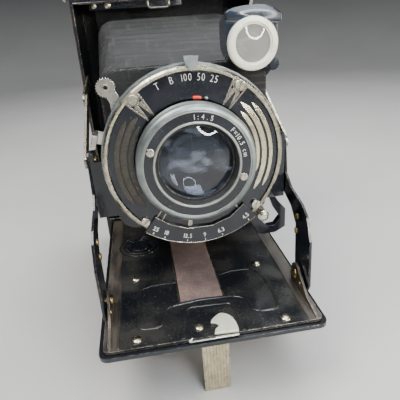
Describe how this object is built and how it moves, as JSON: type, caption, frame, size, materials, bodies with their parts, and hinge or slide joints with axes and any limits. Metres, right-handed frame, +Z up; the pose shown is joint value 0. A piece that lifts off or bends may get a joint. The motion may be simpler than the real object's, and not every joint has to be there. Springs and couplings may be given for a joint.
{
  "type": "folding roll film camera",
  "caption": "Self-erecting folding roll-film camera with bellows, leaf shutter, brilliant finder and drop-down front door",
  "frame": {"origin": "centre of the flat bottom end of the body, on the surface the camera stands on", "axes": "+Z up along the long side of the body, -Y out of the lens, +X to the right of someone facing the lens"},
  "size_m": [0.0901, 0.1365, 0.1608],
  "materials": {
    "enamel": "gloss black stove enamel with a faint blue cast, worn at the edges",
    "matt_black": "flat black anti-reflection paint",
    "nickel": "aged nickel plate, slightly yellow",
    "steel": "bare steel",
    "brass": "brass rivets showing through worn plate",
    "satin": "satin chromed alloy, bead-blasted look",
    "glass": "uncoated optical glass",
    "mirror": "silvered finder mirror",
    "red_glass": "ruby celluloid window",
    "bellows_cloth": "worn black leathercloth bellows with flat pleats",
    "brown_leather": "thin worn brown leather pad",
    "wood": "plain turned beech spool"
  },
  "bodies": {
    "body": {"body_shell": "enamel", "film_gate": "matt_black", "door_hinge_pin": "steel", "back_hinge_pin": "steel", "catch_bracket": "enamel", "feed_pin_left": "steel", "feed_pin_right": "steel", "takeup_pin_right": "steel", "bellows": "bellows_cloth"},
    "front_door": {"door_shell": "enamel", "door_plate": "enamel", "door_pad": "brown_leather", "tripod_bush": "nickel", "door_catch": "nickel", "foot_pin": "steel"},
    "foot": {"foot": "nickel"},
    "side_arms": {"arm_left": "enamel", "arm_right": "enamel", "arm_foot_rivet_left": "brass", "arm_foot_rivet_right": "brass", "arm_head_rivet_left": "brass", "arm_head_rivet_right": "brass"},
    "lens_standard": {"standard": "enamel", "strut_lock": "enamel", "shutter_case": "enamel", "shutter_face": "enamel", "shutter_rim": "nickel", "iris_ring": "matt_black", "rear_cell": "matt_black", "rear_lens": "glass", "finder_pin": "nickel"},
    "front_cell": {"front_lens": "glass"},
    "focus_ring": {"focus_ring": "satin"},
    "speed_ring": {"speed_ring": "nickel"},
    "cocking_lever": {"cocking_lever": "nickel"},
    "release_lever": {"release_lever": "nickel"},
    "aperture_lever": {"aperture_lever": "nickel"},
    "blade_left": {"shutter_blade_left": "matt_black"},
    "blade_right": {"shutter_blade_right": "matt_black"},
    "finder": {"finder_housing": "enamel", "finder_bezel": "nickel", "finder_front_lens": "glass", "finder_top_lens": "glass", "finder_mirror": "mirror"},
    "stay_front": {"stay_front_left": "nickel", "stay_front_right": "nickel"},
    "stay_rear": {"stay_rear_left": "nickel", "stay_rear_right": "nickel"},
    "back": {"back_door": "enamel", "red_window": "red_glass", "pressure_plate": "matt_black", "pressure_spring": "steel"},
    "back_latch": {"back_latch": "nickel"},
    "window_slide": {"window_slide": "nickel"},
    "winding_key": {"winding_key": "nickel"},
    "takeup_spool": {"takeup_spool": "wood"},
    "feed_spool": {"feed_spool": "wood"},
    "roller_lower": {"film_roller_lower": "steel"},
    "roller_upper": {"film_roller_upper": "steel"},
    "release_button": {"door_release_button": "nickel"}
  },
  "joints": [
    {"name": "door_hinge", "type": "hinge", "parent": "body", "child": "front_door", "pos_m": [0, -0.019, 0.0295], "axis": [-1, 0, 0], "range_deg": [0, 90], "deforming": ["bellows"]},
    {"name": "arm_fold", "type": "hinge", "parent": "front_door", "child": "side_arms", "pos_m": [0, -0.095, 0.033], "axis": [-1, 0, 0], "range_deg": [0, 34]},
    {"name": "standard_level", "type": "hinge", "parent": "side_arms", "child": "lens_standard", "pos_m": [0, -0.073, 0.0772], "axis": [-1, 0, 0], "range_deg": [-124, 0]},
    {"name": "stay_front_fold", "type": "hinge", "parent": "lens_standard", "child": "stay_front", "pos_m": [0, -0.073, 0.0772], "axis": [-1, 0, 0], "range_deg": [-68, 0]},
    {"name": "stay_knee", "type": "hinge", "parent": "stay_front", "child": "stay_rear", "pos_m": [0, -0.0402, 0.0931], "axis": [-1, 0, 0], "range_deg": [0, 256]},
    {"name": "foot_fold", "type": "hinge", "parent": "front_door", "child": "foot", "pos_m": [0, -0.1105, 0.0234], "axis": [1, 0, 0], "range_deg": [0, 88]},
    {"name": "finder_swivel", "type": "hinge", "parent": "lens_standard", "child": "finder", "pos_m": [0.0286, -0.078, 0.106], "axis": [0, -1, 0], "range_deg": [-90, 0]},
    {"name": "focus_travel", "type": "slide", "parent": "lens_standard", "child": "front_cell", "axis": [0, 1, 0], "range_m": [-0.0016, 0]},
    {"name": "focus_turn", "type": "hinge", "parent": "front_cell", "child": "focus_ring", "pos_m": [0, -0.078, 0.0795], "axis": [0, 1, 0], "range_deg": [-242, 0]},
    {"name": "speed_turn", "type": "hinge", "parent": "lens_standard", "child": "speed_ring", "pos_m": [0, -0.078, 0.0795], "axis": [0, 1, 0], "range_deg": [-32, 17]},
    {"name": "cocking", "type": "hinge", "parent": "lens_standard", "child": "cocking_lever", "pos_m": [0, -0.078, 0.0795], "axis": [0, -1, 0], "range_deg": [-28, 0], "stiffness_Nm_per_rad": 0.05},
    {"name": "release", "type": "hinge", "parent": "lens_standard", "child": "release_lever", "pos_m": [0, -0.078, 0.0795], "axis": [0, -1, 0], "range_deg": [0, 10], "stiffness_Nm_per_rad": 0.05},
    {"name": "aperture_turn", "type": "hinge", "parent": "lens_standard", "child": "aperture_lever", "pos_m": [0, -0.078, 0.0795], "axis": [0, -1, 0], "range_deg": [-62, 0]},
    {"name": "blade_left_swing", "type": "hinge", "parent": "lens_standard", "child": "blade_left", "pos_m": [0, -0.082, 0.1005], "axis": [0, -1, 0], "range_deg": [-27.5, 0]},
    {"name": "blade_right_swing", "type": "hinge", "parent": "lens_standard", "child": "blade_right", "pos_m": [0, -0.081, 0.1005], "axis": [0, -1, 0], "range_deg": [0, 27.5]},
    {"name": "back_hinge", "type": "hinge", "parent": "body", "child": "back", "pos_m": [0, 0.00915, 0.1595], "axis": [1, 0, 0], "range_deg": [0, 110]},
    {"name": "back_latch_turn", "type": "hinge", "parent": "back", "child": "back_latch", "pos_m": [0.04085, 0.014, 0.027], "axis": [0, 0, -1], "range_deg": [-60, 0]},
    {"name": "window_slide_travel", "type": "slide", "parent": "back", "child": "window_slide", "axis": [1, 0, 0], "range_m": [0, 0.0105]},
    {"name": "key_turn", "type": "hinge", "parent": "body", "child": "winding_key", "pos_m": [0, -0.0036, 0.144], "axis": [1, 0, 0], "continuous": true},
    {"name": "takeup_turn", "type": "hinge", "parent": "body", "child": "takeup_spool", "pos_m": [0, -0.0036, 0.144], "axis": [1, 0, 0], "continuous": true},
    {"name": "feed_turn", "type": "hinge", "parent": "body", "child": "feed_spool", "pos_m": [0, -0.0036, 0.0144], "axis": [1, 0, 0], "continuous": true},
    {"name": "roller_lower_turn", "type": "hinge", "parent": "body", "child": "roller_lower", "pos_m": [0, 0.0098, 0.0246], "axis": [1, 0, 0], "continuous": true},
    {"name": "roller_upper_turn", "type": "hinge", "parent": "body", "child": "roller_upper", "pos_m": [0, 0.0098, 0.1339], "axis": [1, 0, 0], "continuous": true},
    {"name": "door_release", "type": "slide", "parent": "body", "child": "release_button", "axis": [1, 0, 0], "range_m": [0, 0.0012], "stiffness_N_per_m": 300}
  ],
  "couplings": [
    {"joint": "arm_fold", "follows": "door_hinge", "ratio": 0.36332},
    {"joint": "standard_level", "follows": "door_hinge", "ratio": -1.3633},
    {"joint": "stay_front_fold", "follows": "door_hinge", "ratio": -0.73441},
    {"joint": "stay_knee", "follows": "door_hinge", "ratio": 2.8064},
    {"joint": "focus_turn", "follows": "focus_travel", "rad_per_m": 2618},
    {"joint": "blade_left_swing", "follows": "release", "ratio": -2.7},
    {"joint": "blade_right_swing", "follows": "release", "ratio": 2.7},
    {"joint": "takeup_turn", "follows": "key_turn", "ratio": 1}
  ]
}
